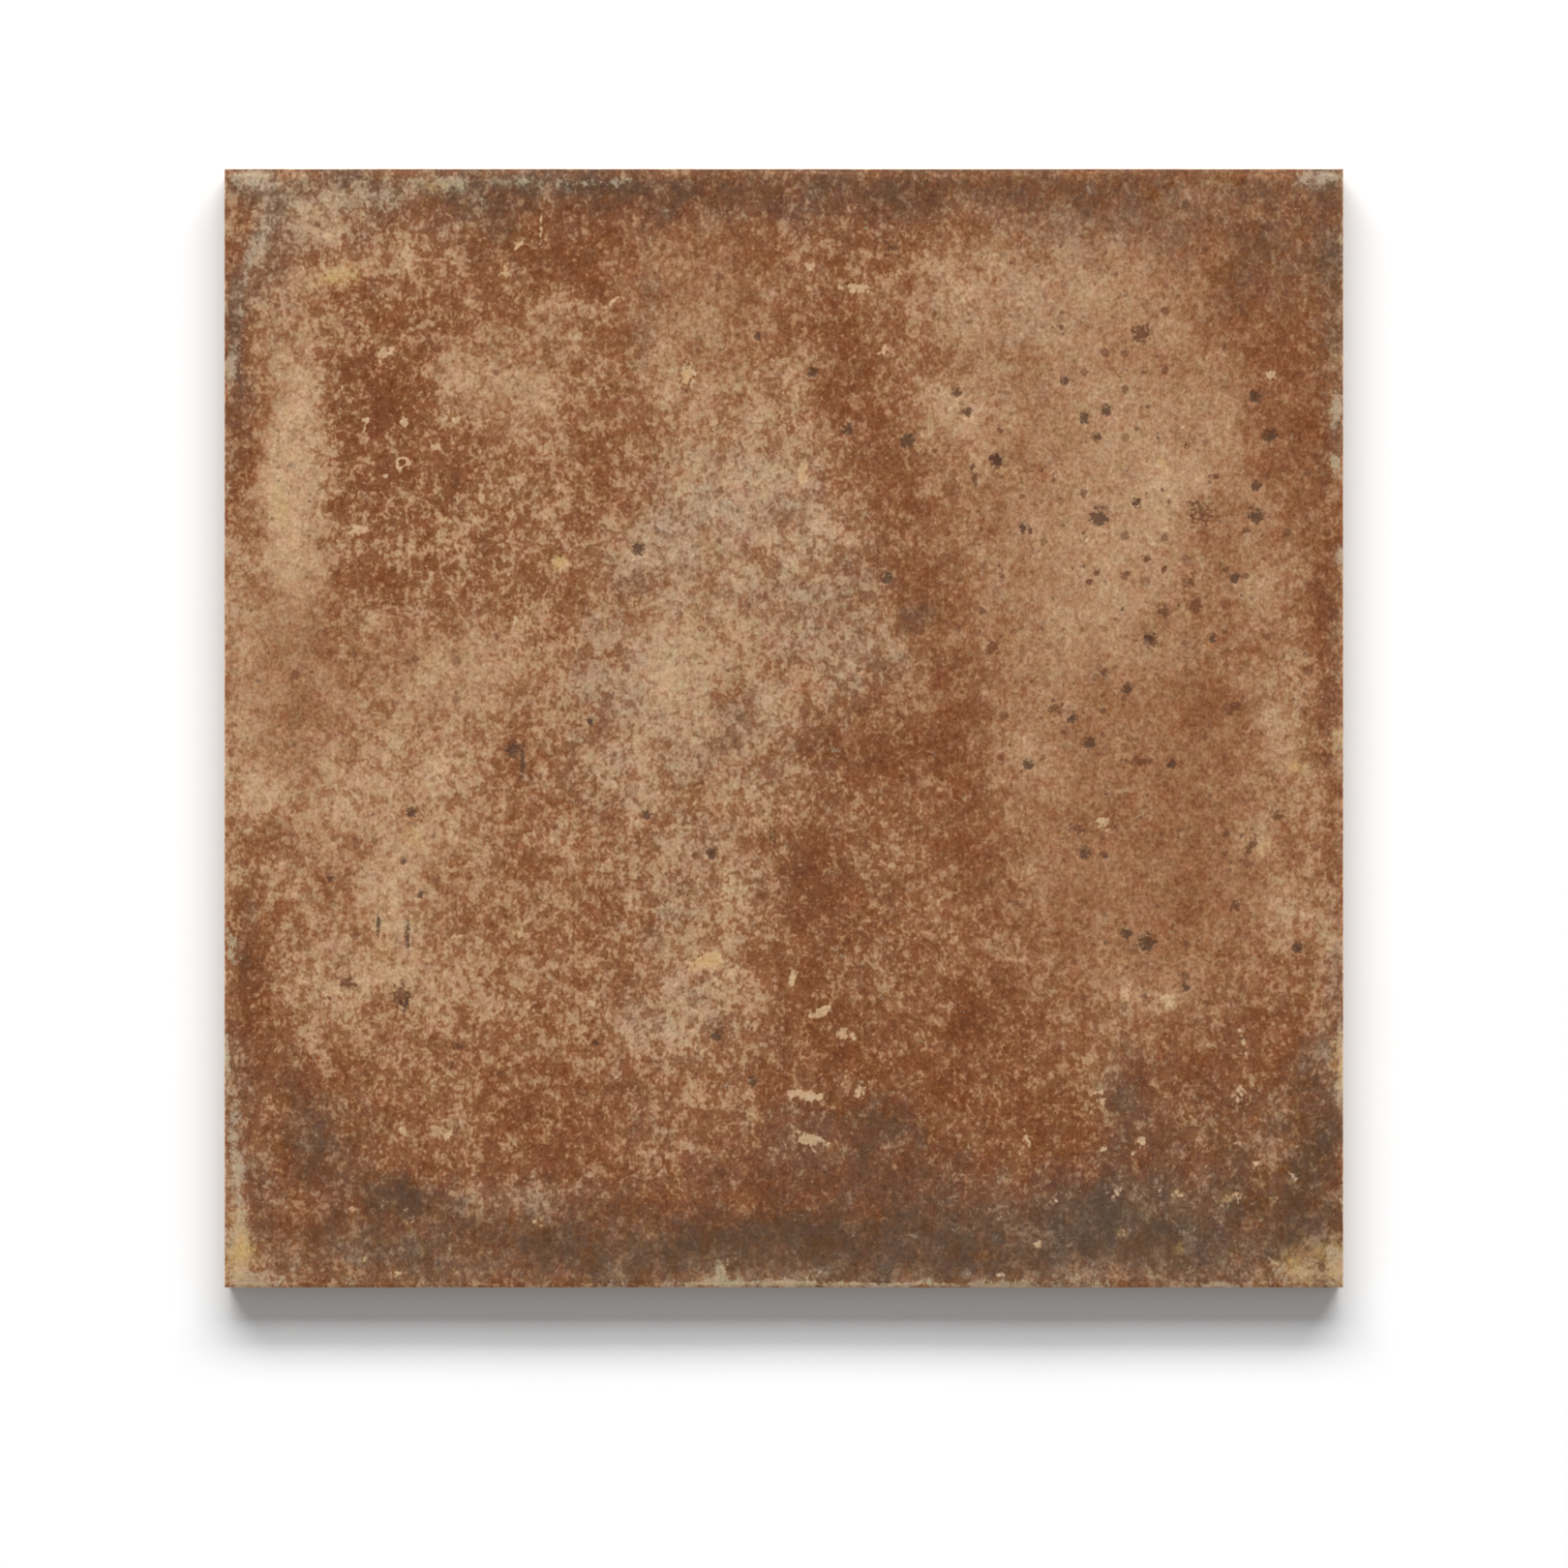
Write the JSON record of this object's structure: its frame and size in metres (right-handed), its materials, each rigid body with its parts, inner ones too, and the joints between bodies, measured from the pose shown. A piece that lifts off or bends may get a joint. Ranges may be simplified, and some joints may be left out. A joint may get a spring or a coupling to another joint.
{
  "type": "rustic floor tile",
  "caption": "Square rustic clay floor tile with a worn wavy edge, drafted sides and a keyed back for bedding.",
  "frame": {"origin": "middle of the back, on the face of the ribs that the tile lies on", "axes": "+Z out of the worn face, X and Y along the sides, +Y towards the side at the top of the picture"},
  "size_m": [0.3314, 0.3314, 0.0095],
  "materials": {
    "fired_clay": "matt fired clay with a worn, mottled face"
  },
  "bodies": {
    "root": {"tile": "fired_clay"}
  },
  "joints": []
}
